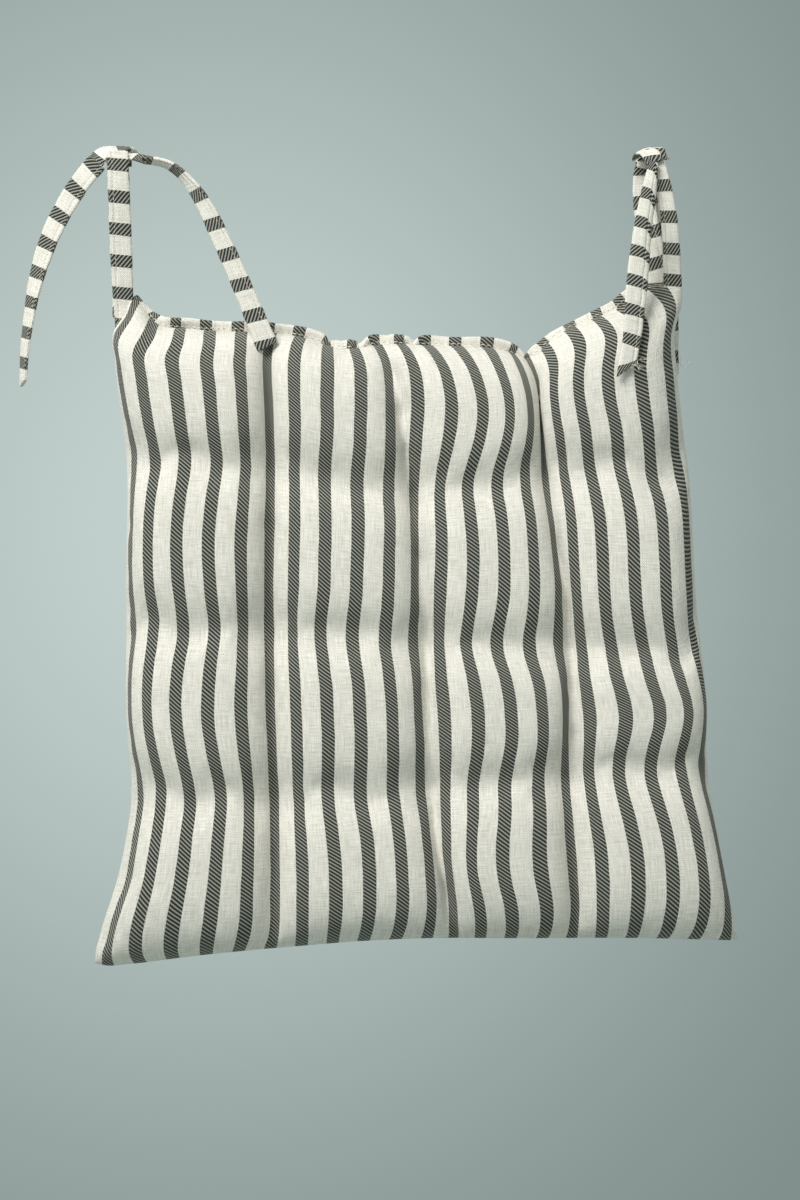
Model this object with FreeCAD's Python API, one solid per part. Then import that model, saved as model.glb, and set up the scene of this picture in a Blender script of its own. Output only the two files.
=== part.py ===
"""Tie-on chair seat pad, hanging by its two pairs of ties from a square rail.

Millimetres, +Z up, +X to the right, the front of the pad towards -Y.  The origin is on the rail's axis,
midway along the model, so the rail runs along X and the pad hangs below it.  Each sub-part is a solid of
its own, written to parts/NODE.step.
"""
import FreeCAD, Part
import math
import os

V = FreeCAD.Vector

# Fabric and filling.
FABRIC = 0.9               # one layer of the woven cover
SEAM_GAP = 0.3             # from the pad's middle plane to the inside of a panel, at its sewn edge
FILLING_GAP = 0.7          # clearance between the filling and the inside of the cover
FILLING_INSET = 0.024      # how far the filling stops short of the seams, as a share of the side
PUFF_HALF = 25.0           # half the pad's thickness at the top of a puff
TUFT_HALF = 5.0            # half its thickness where a tuft thread pulls it in
EDGE_ROLL = 0.13           # the share of the side over which a panel rises from its seam

# Tufts: three columns by three rows, which divide the pad in four both ways.
TUFT_SHARES = (0.25, 0.5, 0.75)
TUFT_PIT = 0.062           # radius of a tuft's pit, as a share of the side
COLUMN_VALLEY = 0.62       # how much of the height the folds along the columns take away
ROW_VALLEY = 0.30          # and the softer ones along the rows
VALLEY_WIDTH = 0.055
TUFT_PLACES = (
    ((-83, -168), (-2, -180), (75, -171)),
    ((-84, -262), (6, -267), (90, -270)),
    ((-81, -357), (9, -351), (88, -345)),
)

# The pad's sewn outline as it hangs, (x, z), each side from one corner to the next.
TOP_EDGE = (
    (-161, -65.5), (-149, -76.5), (-130, -81), (-67, -87), (-41, -95), (-20, -91),
    (10, -90), (49, -93), (67, -99), (95, -83), (137, -63), (155, -59),
)
BOTTOM_EDGE = ((-184.5, -455), (-125, -447), (-67, -442), (-9, -439), (70, -439), (130, -438.5), (188.5, -442))
LEFT_EDGE = ((-161, -65.5), (-166, -78.5), (-174, -88), (-172.5, -104), (-165.5, -157), (-166.5, -244),
             (-164, -313), (-160, -354), (-168, -406), (-184.5, -455))
RIGHT_EDGE = ((155, -59), (152.5, -110), (159.5, -174), (163.5, -244), (169, -302), (170, -340), (175, -377),
              (188.5, -442))
GRID = 41                  # stations each way through which a panel's surface passes

# Sewing thread.
TUFT_STEM_R = 0.6
TUFT_BAR_R = 0.7
TUFT_HOLE_R = 1.0
TUFT_BAR = 7.0             # length of the thread that shows on each face at a tuft
TUFT_BAR_LIFT = 1.1        # from the fabric's pit to the middle of that thread
SEAM_THREAD_R = 0.25
SEAM_INSET = 0.006         # seam threads run this share of the side inside the sewn edge
CLOSING_INSET = 0.015      # the closing stitch runs this far below the top edge

# Ties: flat straps folded and sewn from the cover's fabric, looped over the rail.
RAIL_SIDE = 19.0
STRAP_WIDTH = 13.0
STRAP_THICK = 2.2
STRAP_LAY = RAIL_SIDE / 2 + 2.2    # from the rail's axis to the middle of a strap that passes beside it
KNOT_SIZE = (19.0, 16.0, 8.5)
KNOT_ROUND = 2.8
KNOT_BOTTOM = RAIL_SIDE / 2 + 0.3
KNOT_CLEARANCE = 0.3
BEND_SHARE = 0.45          # an arc takes up to this share of the shorter run beside it
LEFT_KNOT_X = -171.0
RIGHT_KNOT_X = 137.0
TAIL_TOP_Y = -15.6         # the free tails hang this far in front of the rail's axis

# Routes of the straps' middle lines.  A strand goes up from its corner of the pad to the knot.
LEFT_CORNER = (-173.5, -74.0)      # (x, z) where the left strands are sewn on
RIGHT_CORNER = (148.0, -57.0)
STRAND_SPREAD = 2.0                # half the distance between a pair's two strands at the corner
# A tail's points are (x, z); its y runs evenly from the top to the lean given with it.
LEFT_OUTER_TAIL = ((-182, 8), (-191, -2), (-200, -16), (-208, -31), (-214, -47), (-219, -65), (-222, -84),
                   (-224.5, -102), (-225, -120))
LEFT_INNER_TAIL = ((-157, 9), (-146, 8.5), (-136, 3), (-127, -7), (-119, -20), (-112.5, -34), (-105, -50),
                   (-96.5, -70), (-84.5, -98.5))
RIGHT_FRONT_TAIL = ((137, 8), (134, -9), (130.5, -29), (128, -51), (125.5, -74), (123.5, -96), (120, -113))
RIGHT_BACK_TAIL = ((142, 8), (144.5, -9), (147, -28), (148.5, -48), (149, -69), (149, -90), (149.5, -110))
FRONT_TAIL_LEAN = 0.115            # how far y goes outwards for each millimetre down, over the puffed pad
BACK_TAIL_LEAN = -0.09             # the same behind it


def curve_through(points):
    """A smooth curve through (x, z) points, in the pad's middle plane."""
    curve = Part.BSplineCurve()
    curve.interpolate([V(x, 0, z) for x, z in points])
    return curve


SIDES = {name: curve_through(points) for name, points in (
    ("top", TOP_EDGE), ("bottom", BOTTOM_EDGE), ("left", LEFT_EDGE), ("right", RIGHT_EDGE))}


def along(side, share):
    """The point at a share of a side's length."""
    curve = SIDES[side]
    length = curve.length()
    return curve.value(curve.parameterAtDistance(share * length, curve.FirstParameter))


def coons(u, v):
    """The point of the flat sheet at shares u across and v down, stretched between the four sides."""
    top, bottom, left, right = along("top", u), along("bottom", u), along("left", v), along("right", v)
    corners = (V(TOP_EDGE[0][0], 0, TOP_EDGE[0][1]), V(TOP_EDGE[-1][0], 0, TOP_EDGE[-1][1]),
               V(BOTTOM_EDGE[0][0], 0, BOTTOM_EDGE[0][1]), V(BOTTOM_EDGE[-1][0], 0, BOTTOM_EDGE[-1][1]))
    ruled = top * (1 - v) + bottom * v + left * (1 - u) + right * u
    corner_part = (corners[0] * ((1 - u) * (1 - v)) + corners[1] * (u * (1 - v))
                   + corners[2] * ((1 - u) * v) + corners[3] * (u * v))
    return ruled - corner_part


def near(share, centre, reach):
    """1 at centre, falling smoothly to 0 at reach."""
    gap = min(1.0, abs(share - centre) / reach)
    return math.cos(gap * math.pi / 2) ** 2


TUFT_SHIFTS = [
    [V(x, 0, z) - coons(u, v) for u, (x, z) in zip(TUFT_SHARES, row)]
    for v, row in zip(TUFT_SHARES, TUFT_PLACES)
]


def sheet_point(u, v):
    """The sheet's point with each tuft moved to its place."""
    point = coons(u, v)
    for row, v_tuft in enumerate(TUFT_SHARES):
        for column, u_tuft in enumerate(TUFT_SHARES):
            weight = near(u, u_tuft, 0.25) * near(v, v_tuft, 0.25)
            point = point + TUFT_SHIFTS[row][column] * weight
    return point


def half_thickness(u, v):
    """Half the pad's thickness at shares u, v: puffs between seams, folds and tufts."""
    edge = min(u, 1 - u, EDGE_ROLL) / EDGE_ROLL
    end = min(v, 1 - v, EDGE_ROLL) / EDGE_ROLL
    rise = math.sqrt((1 - (1 - edge) ** 2) * (1 - (1 - end) ** 2))
    column = max(math.exp(-((u - place) / VALLEY_WIDTH) ** 2) for place in TUFT_SHARES)
    row = max(math.exp(-((v - place) / VALLEY_WIDTH) ** 2) for place in TUFT_SHARES)
    pit = max(
        math.exp(-((u - u_tuft) ** 2 + (v - v_tuft) ** 2) / TUFT_PIT ** 2)
        for u_tuft in TUFT_SHARES for v_tuft in TUFT_SHARES
    )
    seam = SEAM_GAP + FABRIC
    puffed = seam + (PUFF_HALF - seam) * rise * (1 - COLUMN_VALLEY * column) * (1 - ROW_VALLEY * row)
    return puffed + (TUFT_HALF - puffed) * pit


def stations(inset):
    """Shares from one side to the other, closer together near the seams."""
    return [inset + (1 - 2 * inset) * (0.5 - 0.5 * math.cos(math.pi * i / (GRID - 1))) for i in range(GRID)]


def skin(side, depth, inset=0.0):
    """The surface that lies depth below the outside of the pad, on its front (-1) or back (1)."""
    surface = Part.BSplineSurface()
    shares = stations(inset)
    grid = []
    for u in shares:
        line = []
        for v in shares:
            flat = sheet_point(u, v)
            line.append(V(flat.x, side * (half_thickness(u, v) - depth), flat.z))
        grid.append(line)
    surface.interpolate(grid)
    return surface


def solid_between(lower, upper):
    """The closed solid between two surfaces that share their outline's stations."""
    u0, u1, v0, v1 = lower.bounds()
    faces = [lower.toShape(), upper.toShape()]
    for pair in ((lower.uIso(u0), upper.uIso(u0)), (lower.uIso(u1), upper.uIso(u1)),
                 (lower.vIso(v0), upper.vIso(v0)), (lower.vIso(v1), upper.vIso(v1))):
        faces.append(Part.makeRuledSurface(pair[0].toShape(), pair[1].toShape()))
    shell = Part.makeShell(faces)
    shell.sewShape()
    solid = Part.makeSolid(shell)
    if solid.Volume < 0:
        solid.reverse()
    return solid


def tuft_stem(place, radius, half_length):
    """A round stem through the pad at a tuft."""
    return Part.makeCylinder(radius, 2 * half_length, V(place[0], -half_length, place[1]), V(0, 1, 0))


def pierced(solid):
    """The solid with a hole at each tuft, through which its thread passes."""
    stems = [tuft_stem(place, TUFT_HOLE_R, PUFF_HALF) for row in TUFT_PLACES for place in row]
    return solid.cut(Part.makeCompound(stems))


def panel(side):
    """One face of the cover: a sheet of fabric from seam to seam."""
    return pierced(solid_between(skin(side, 0.0), skin(side, FABRIC)))


def filling():
    """The fibre filling, which fills the cover to just inside its seams."""
    depth = FABRIC + FILLING_GAP
    return pierced(solid_between(skin(-1, depth, FILLING_INSET), skin(1, depth, FILLING_INSET)))


def tuft_thread(place):
    """A thread through the pad that shows as a short bar on each face."""
    reach = TUFT_HALF + TUFT_BAR_LIFT
    thread = tuft_stem(place, TUFT_STEM_R, reach)
    for y in (-reach, reach):
        start = V(place[0] - TUFT_BAR / 2, y, place[1])
        thread = thread.fuse(Part.makeCylinder(TUFT_BAR_R, TUFT_BAR, start, V(1, 0, 0)))
    return thread


def route(points):
    """Straight runs joined by tangent arcs, each as large as its runs allow, and the arcs' radii."""
    edges, radii, start = [], [], points[0]
    for before, corner, after in zip(points, points[1:], points[2:]):
        incoming, outgoing = corner - before, after - corner
        shorter = min(incoming.Length, outgoing.Length)
        incoming.normalize()
        outgoing.normalize()
        turn = incoming.getAngle(outgoing)
        reach = BEND_SHARE * shorter
        radius = reach / math.tan(turn / 2)
        inward = outgoing - incoming
        inward.normalize()
        centre = corner + inward * (radius / math.cos(turn / 2))
        first, last = corner - incoming * reach, corner + outgoing * reach
        edges.append(Part.LineSegment(start, first).toShape())
        edges.append(Part.Arc(first, centre - inward * radius, last).toShape())
        radii.append(radius)
        start = last
    edges.append(Part.LineSegment(start, points[-1]).toShape())
    return Part.Wire(edges), radii


def strap(name, points, across):
    """A flat strap along a route, its width as near as it can be to the direction across."""
    wire, radii = route(points)
    heading = points[1] - points[0]
    heading.normalize()
    thickness_way = heading.cross(across)
    thickness_way.normalize()
    width_way = thickness_way.cross(heading)
    half_w, half_t = width_way * (STRAP_WIDTH / 2), thickness_way * (STRAP_THICK / 2)
    corners = [points[0] + half_w + half_t, points[0] - half_w + half_t,
               points[0] - half_w - half_t, points[0] + half_w - half_t]
    section = Part.makePolygon(corners + corners[:1])
    solid = wire.makePipeShell([section], True, False)
    solid = Part.makeSolid(solid) if solid.ShapeType == "Shell" else solid
    expected = STRAP_WIDTH * STRAP_THICK * wire.Length
    print("%s: length %.1f, smallest radius %.1f, volume / (section x length) %.4f"
          % (name, wire.Length, min(radii), solid.Volume / expected))
    return solid


def strand(name, knot_x, corner, side):
    """A tie's strand, up from its corner of the pad past the rail and over to the knot."""
    knot_face = KNOT_SIZE[1] / 2 + KNOT_CLEARANCE
    knot_middle = KNOT_BOTTOM + KNOT_SIZE[2] / 2
    lean = (corner[0] - knot_x) / (RAIL_SIDE + corner[1])
    points = [
        V(corner[0], side * STRAND_SPREAD, corner[1]),
        V(knot_x - lean * RAIL_SIDE / 2, side * (STRAP_LAY - 1.0), -RAIL_SIDE),
        V(knot_x, side * STRAP_LAY, knot_middle),
        V(knot_x, side * knot_face, knot_middle + 0.4),
    ]
    return strap(name, points, V(1, 0, 0))


def knot(knot_x):
    """The half knot that holds a pair of strands over the rail, as a rounded block."""
    length, depth, height = KNOT_SIZE
    block = Part.makeBox(length, depth, height, V(knot_x - length / 2, -depth / 2, KNOT_BOTTOM))
    return block.makeFillet(KNOT_ROUND, block.Edges)


def tail(name, points, top_y, lean=0.0):
    """A tie's free end, which hangs from the knot with its flat side to the front."""
    top = points[0][1]
    places = [V(x, top_y + lean * (z - top), z) for x, z in points]
    plane_normal = V(0, 1, -lean)
    across = plane_normal.cross(places[1] - places[0])
    return strap(name, places, across)


def seam_thread(name, shares):
    """A line of sewing thread between the two panels, through the sheet's points at those shares."""
    wire, _radii = route([sheet_point(u, v) for u, v in shares])
    start = wire.Edges[0].valueAt(wire.Edges[0].FirstParameter)
    heading = wire.Edges[0].tangentAt(wire.Edges[0].FirstParameter)
    section = Part.Wire([Part.makeCircle(SEAM_THREAD_R, start, heading)])
    thread = wire.makePipeShell([section], True, False)
    expected = math.pi * SEAM_THREAD_R ** 2 * wire.Length
    print("%s: length %.1f, volume / (section x length) %.4f" % (name, wire.Length, thread.Volume / expected))
    return thread


def shares_between(first, last, count):
    """Evenly spaced shares from first to last."""
    return [first + (last - first) * i / (count - 1) for i in range(count)]


def sewn_lines():
    """The threads that close the four sides of the cover."""
    inner, outer = 2 * SEAM_INSET, 1 - 2 * SEAM_INSET
    down = shares_between(inner, outer, 13)
    across = shares_between(inner, outer, 15)
    return {
        "left_seam_thread": [(SEAM_INSET, v) for v in down],
        "right_seam_thread": [(1 - SEAM_INSET, v) for v in down],
        "bottom_seam_thread": [(u, 1 - SEAM_INSET) for u in across],
        "closing_stitch_thread": [(u, CLOSING_INSET) for u in shares_between(inner, outer, 23)],
    }


def ties():
    """Both pairs of ties: strands, knots and tails."""
    return {
        "left_tie_front_strand": strand("left_tie_front_strand", LEFT_KNOT_X, LEFT_CORNER, -1),
        "left_tie_back_strand": strand("left_tie_back_strand", LEFT_KNOT_X, LEFT_CORNER, 1),
        "right_tie_front_strand": strand("right_tie_front_strand", RIGHT_KNOT_X, RIGHT_CORNER, -1),
        "right_tie_back_strand": strand("right_tie_back_strand", RIGHT_KNOT_X, RIGHT_CORNER, 1),
        "left_tie_knot": knot(LEFT_KNOT_X),
        "right_tie_knot": knot(RIGHT_KNOT_X),
        "left_tie_outer_tail": tail("left_tie_outer_tail", LEFT_OUTER_TAIL, TAIL_TOP_Y),
        "left_tie_inner_tail": tail("left_tie_inner_tail", LEFT_INNER_TAIL, TAIL_TOP_Y),
        "right_tie_front_tail": tail("right_tie_front_tail", RIGHT_FRONT_TAIL, TAIL_TOP_Y, FRONT_TAIL_LEAN),
        "right_tie_back_tail": tail("right_tie_back_tail", RIGHT_BACK_TAIL, -TAIL_TOP_Y, BACK_TAIL_LEAN),
    }


def tack(centre, size):
    """The close zigzag of thread that holds a pair of strands in the seam, as a small block."""
    corner = V(centre[0] - size[0] / 2, centre[1] - size[1] / 2, centre[2] - size[2] / 2)
    return Part.makeBox(size[0], size[1], size[2], corner)


def make_parts():
    """Every sub-part by the name of its node."""
    parts = {
        "front_panel": panel(-1),
        "back_panel": panel(1),
        "fibre_filling": filling(),
    }
    for row, places in zip(("upper", "middle", "lower"), TUFT_PLACES):
        for column, place in zip(("left", "centre", "right"), places):
            parts["tuft_thread_%s_%s" % (row, column)] = tuft_thread(place)
    for name, shares in sewn_lines().items():
        parts[name] = seam_thread(name, shares)
    parts.update(ties())
    gap = 2 * STRAND_SPREAD - STRAP_THICK - 0.2
    for name, corner in (("left_tie_tack", LEFT_CORNER), ("right_tie_tack", RIGHT_CORNER)):
        parts[name] = tack((corner[0], 0, corner[1] + 2.5), (STRAP_WIDTH - 3, gap, 3))
    return parts


os.makedirs("parts", exist_ok=True)
for node, shape in make_parts().items():
    if not shape.isValid():
        print("NOT VALID:", node)
    shape.exportStep("parts/%s.step" % node)
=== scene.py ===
"""A striped, tufted chair seat pad that hangs by its two pairs of ties.

Lengths are millimetres in the part's frame, and MM turns them into metres.
The cover's cloth is 400 mm square with 21 dark stripes.  Its shares run from 0 to 1, across and down.
"""
import math

import bpy
import numpy as np
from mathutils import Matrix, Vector


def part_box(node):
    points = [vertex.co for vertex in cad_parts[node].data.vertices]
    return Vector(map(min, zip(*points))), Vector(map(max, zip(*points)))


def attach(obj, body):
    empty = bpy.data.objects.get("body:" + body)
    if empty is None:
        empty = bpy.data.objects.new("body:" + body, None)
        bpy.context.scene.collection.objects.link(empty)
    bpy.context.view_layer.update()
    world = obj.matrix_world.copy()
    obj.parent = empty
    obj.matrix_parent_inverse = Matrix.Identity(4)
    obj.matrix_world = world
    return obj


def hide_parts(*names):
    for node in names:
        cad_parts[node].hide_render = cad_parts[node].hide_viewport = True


MM = 0.001
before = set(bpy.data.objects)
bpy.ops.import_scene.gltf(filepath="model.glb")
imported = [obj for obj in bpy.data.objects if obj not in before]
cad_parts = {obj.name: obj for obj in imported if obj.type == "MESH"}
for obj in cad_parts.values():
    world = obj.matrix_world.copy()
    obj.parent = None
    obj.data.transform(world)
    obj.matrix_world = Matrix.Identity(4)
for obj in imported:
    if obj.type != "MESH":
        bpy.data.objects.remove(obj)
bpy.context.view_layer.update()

# The pad's sewn outline as it hangs, (x, z).
TOP_EDGE = (
    (-165.5, -64), (-153, -76), (-130, -79.5), (-67, -84), (-41, -91), (-20, -88.5), (10, -89.3),
    (49, -91.5), (66, -96), (82, -83), (100, -74.5), (118, -68), (137, -62), (155, -59),
)
BOTTOM_EDGE = (
    (-186.5, -455), (-182, -457.3), (-168, -456), (-125, -450.5), (-67, -445), (-9, -441), (70, -440.5),
    (130, -440.5), (188.5, -442),
)
LEFT_EDGE = (
    (-165.5, -64), (-168.5, -77), (-175.5, -88), (-174.5, -104), (-168.5, -157), (-168.3, -244),
    (-168, -313), (-165.5, -354), (-172.5, -400), (-185, -440), (-187.9, -450), (-186.5, -455),
)
RIGHT_EDGE = (
    (155, -59), (156, -71), (151.5, -85), (152.8, -112), (159.5, -174), (163.5, -244), (169, -302),
    (170, -340), (175, -377), (188.5, -442),
)

# The cloth and how it is pulled in.
CLOTH = 400.0
STRIPES = 21
HEM = 6.0
CELLS = 80
TUFT_SHARES = (0.25, 0.5, 0.75)
TUFT_HALF = 4.0
STOPS = (0,) + TUFT_SHARES + (1,)
# Each crease down the pad: (share across the cloth, x) at the top, at its three tufts and at the bottom.
CREASES = (
    ((0.265, -85), (0.263, -83), (0.262, -84), (0.263, -81), (0.255, -82)),
    ((0.451, -16.5), (0.497, -2), (0.525, 6), (0.522, 9), (0.547, 23)),
    ((0.742, 69), (0.738, 75), (0.766, 90), (0.743, 88), (0.738, 94)),
)
# How far the left roll's cloth lies inside the left edge, at shares down it.
LEFT_SLACK = ((0, 0), (0.25, 2.2), (0.5, 2.6), (0.75, 4.0), (0.87, 6.5), (1, 4.5))
# Each row's z at the left seam, its three tufts and the right seam, and those places' shares across.
ROW_STOPS = (0, 0.264, 0.51, 0.745, 1)
ROWS = (
    (-162, -168, -180, -171, -168),
    (-258, -262, -267, -270, -272),
    (-354, -357, -351, -345, -339),
)
# How far each row draws the cloth sideways, in each of the four rolls between creases, and how far the
# puffs above, between and below the rows lean.
PINCHES = ((2, -2, -3, -3.5), (1.5, -3, -4, 2.5), (1.5, -2, -3.5, -1))
LEANS = ((1.5, 0, 8, -7), (-3, -0.5, 1.5, 0), (-4, 0.5, 2, 8.5), (-0.5, 2, -9, 6))
# How far each roll's cloth turns away from the front at its left and its right side.
TURNS = ((0.95, 0.32), (0.33, 0.52), (0.07, 0.60), (0.50, 0.65))
# The shares of each roll over which it rounds up from its left crease and down to its right one.
QUARTERS = ((0.45, 0.30), (0.32, 0.34), (0.28, 0.38), (0.34, 0.45))
# The pad's half thickness in each crease, the two side seams' first and last, and at the top of a roll.
CREASE_DEPTHS = (0, 7, 6, 5, 0)
PUFF = 26.0
# How far the panels' edges turn in past a seam, and the longest way the cloth may move as it settles.
SEAM_TURN = 2.2
SETTLE_LIMIT = 8.0
SETTLE_FRAMES = 30

# The weave: the yarns' spacing, the twill lines' spacing and slant, and where a dark stripe's edge fades.
YARN_PITCH = 0.62
TWILL_PITCH = 1.85
TWILL_SLANT = math.radians(39)
STRIPE_FADE = (3.62, 3.92)

# The lengths of a stitch with its gap, under the hem, in the side and bottom seams and along the ties.
HEM_STITCH = 3.4
SEAM_STITCH = 3.6
TIE_STITCH = 2.6

# Ties.  The tails hang just clear of the rail, this far in front of and behind its middle.
STRAP_WIDTH = 13.0
STRAP_THICK = 2.4
TAIL_OUT = 15.6

FORWARD = (0.0, -1.0, 0.0)
BACKWARD = (0.0, 1.0, 0.0)


# ------------------------------------------------------------------ small helpers

def cubic(xs, ys, x):
    """A smooth curve through a few values, read at x."""
    xs = np.asarray(xs, float)
    ys = np.asarray(ys, float)
    slope = np.gradient(ys, xs)
    i = np.clip(np.searchsorted(xs, x) - 1, 0, len(xs) - 2)
    step = xs[i + 1] - xs[i]
    t = np.clip((x - xs[i]) / step, 0, 1)
    start = (2 * t ** 3 - 3 * t ** 2 + 1) * ys[i] + (t ** 3 - 2 * t ** 2 + t) * step * slope[i]
    end = (3 * t ** 2 - 2 * t ** 3) * ys[i + 1] + (t ** 3 - t ** 2) * step * slope[i + 1]
    return start + end


def read_at(table, x):
    """The smooth curve through a table of (place, value), read at x."""
    return cubic([row[0] for row in table], [row[1] for row in table], x)


def run_along(line):
    """The length run at each point of a polyline."""
    return np.r_[0, np.cumsum(np.linalg.norm(np.diff(line, axis=0), axis=1))]


def along(points, shares):
    """Points at shares of the length of the smooth line through a side's points."""
    p = np.array(points, float)
    chord = run_along(p)
    fine = np.linspace(0, chord[-1], 1200)
    line = np.stack([cubic(chord, p[:, k], fine) for k in range(p.shape[1])], -1)
    return at_shares(line, shares)


def at_shares(line, shares):
    """Points at shares of a polyline's length."""
    run = run_along(line)
    return np.stack([np.interp(shares, run / run[-1], line[:, k]) for k in range(line.shape[1])], -1)


def unit(v):
    """Rows of v at length 1."""
    return v / np.maximum(np.linalg.norm(v, axis=-1, keepdims=True), 1e-9)


def link(obj):
    """Puts a new object in the scene."""
    bpy.context.scene.collection.objects.link(obj)
    return obj


def edge_mask(rows, columns):
    """True on the four edges of a grid."""
    mask = np.ones((rows, columns), bool)
    mask[1:-1, 1:-1] = False
    return mask


def two_sided_faces(front, back):
    """Faces of two grids of vertex numbers, the front's turned one way and the back's the other."""
    faces = []
    for i in range(front.shape[0] - 1):
        for j in range(front.shape[1] - 1):
            faces.append((front[i, j], front[i, j + 1], front[i + 1, j + 1], front[i + 1, j]))
            faces.append((back[i, j], back[i + 1, j], back[i + 1, j + 1], back[i, j + 1]))
    return faces


def mesh_object(name, verts, faces, uvs=None):
    """An object from vertices in millimetres, faces and one UV pair for each face corner."""
    mesh = bpy.data.meshes.new(name)
    mesh.from_pydata((np.asarray(verts) * MM).tolist(), [], [list(map(int, f)) for f in faces])
    if uvs is not None:
        layer = mesh.uv_layers.new(name="cloth")
        layer.data.foreach_set("uv", np.asarray(uvs, dtype=np.float32).ravel())
    mesh.polygons.foreach_set("use_smooth", [True] * len(mesh.polygons))
    mesh.update()
    return link(bpy.data.objects.new(name, mesh))


def rounded(obj, levels):
    """Adds the subdivision that rounds a mesh."""
    smooth = obj.modifiers.new("smooth", "SUBSURF")
    smooth.levels = smooth.render_levels = levels


# ------------------------------------------------------------------ materials

class Tree:
    """A node tree with short ways to add nodes.  A value is a number, a colour or a node's socket."""

    def __init__(self, tree):
        self.nodes = tree.nodes
        self.links = tree.links

    def put(self, value, socket):
        if isinstance(value, bpy.types.NodeSocket):
            self.links.new(value, socket)
        else:
            socket.default_value = value

    def math(self, operation, a, b=0.0, c=0.0):
        node = self.nodes.new("ShaderNodeMath")
        node.operation = operation
        self.put(a, node.inputs[0])
        self.put(b, node.inputs[1])
        self.put(c, node.inputs[2])
        return node.outputs[0]

    def ramp(self, value, low, high):
        """0 below low, 1 above high, smooth between."""
        node = self.nodes.new("ShaderNodeMapRange")
        node.interpolation_type = "SMOOTHSTEP"
        self.put(value, node.inputs["Value"])
        node.inputs["From Min"].default_value = low
        node.inputs["From Max"].default_value = high
        return node.outputs["Result"]

    def mix(self, share, a, b):
        """Colour a where share is 0, and b where it is 1."""
        node = self.nodes.new("ShaderNodeMix")
        node.data_type = "RGBA"
        self.put(share, node.inputs[0])
        self.put(a, node.inputs[6])
        self.put(b, node.inputs[7])
        return node.outputs[2]

    def vary(self, plain, noise, amount):
        """plain, moved up or down by up to half the amount."""
        return self.math("MULTIPLY_ADD", self.math("SUBTRACT", noise, 0.5), amount, plain)

    def vector(self, x, y, z=0.0):
        node = self.nodes.new("ShaderNodeCombineXYZ")
        self.put(x, node.inputs[0])
        self.put(y, node.inputs[1])
        self.put(z, node.inputs[2])
        return node.outputs[0]

    def noise(self, where, scale, detail=2.0):
        node = self.nodes.new("ShaderNodeTexNoise")
        self.links.new(where, node.inputs["Vector"])
        node.inputs["Scale"].default_value = scale
        node.inputs["Detail"].default_value = detail
        return node.outputs["Fac"]

    def noise_on(self, x, x_scale, y, y_scale, seed=0.0, detail=2.0):
        """Noise over a flat sheet, seed apart from other noises."""
        where = self.vector(self.math("MULTIPLY", x, x_scale), self.math("MULTIPLY", y, y_scale), seed)
        return self.noise(where, 1.0, detail)


class Shader(Tree):
    """A material, its nodes and its surface shader."""

    def __init__(self, name):
        self.material = bpy.data.materials.new(name)
        self.material.use_nodes = True
        super().__init__(self.material.node_tree)
        self.surface = self.nodes["Principled BSDF"]

    def bump(self, height, strength, distance):
        node = self.nodes.new("ShaderNodeBump")
        node.inputs["Strength"].default_value = strength
        node.inputs["Distance"].default_value = distance
        self.links.new(height, node.inputs["Height"])
        self.links.new(node.outputs["Normal"], self.surface.inputs["Normal"])

    def set(self, **values):
        for name, value in values.items():
            self.surface.inputs[name.replace("_", " ")].default_value = value


def srgb(r, g, b):
    """A linear colour from 0 to 255 sRGB."""
    return tuple(((c / 255 + 0.055) / 1.055) ** 2.4 for c in (r, g, b)) + (1.0,)


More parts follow.
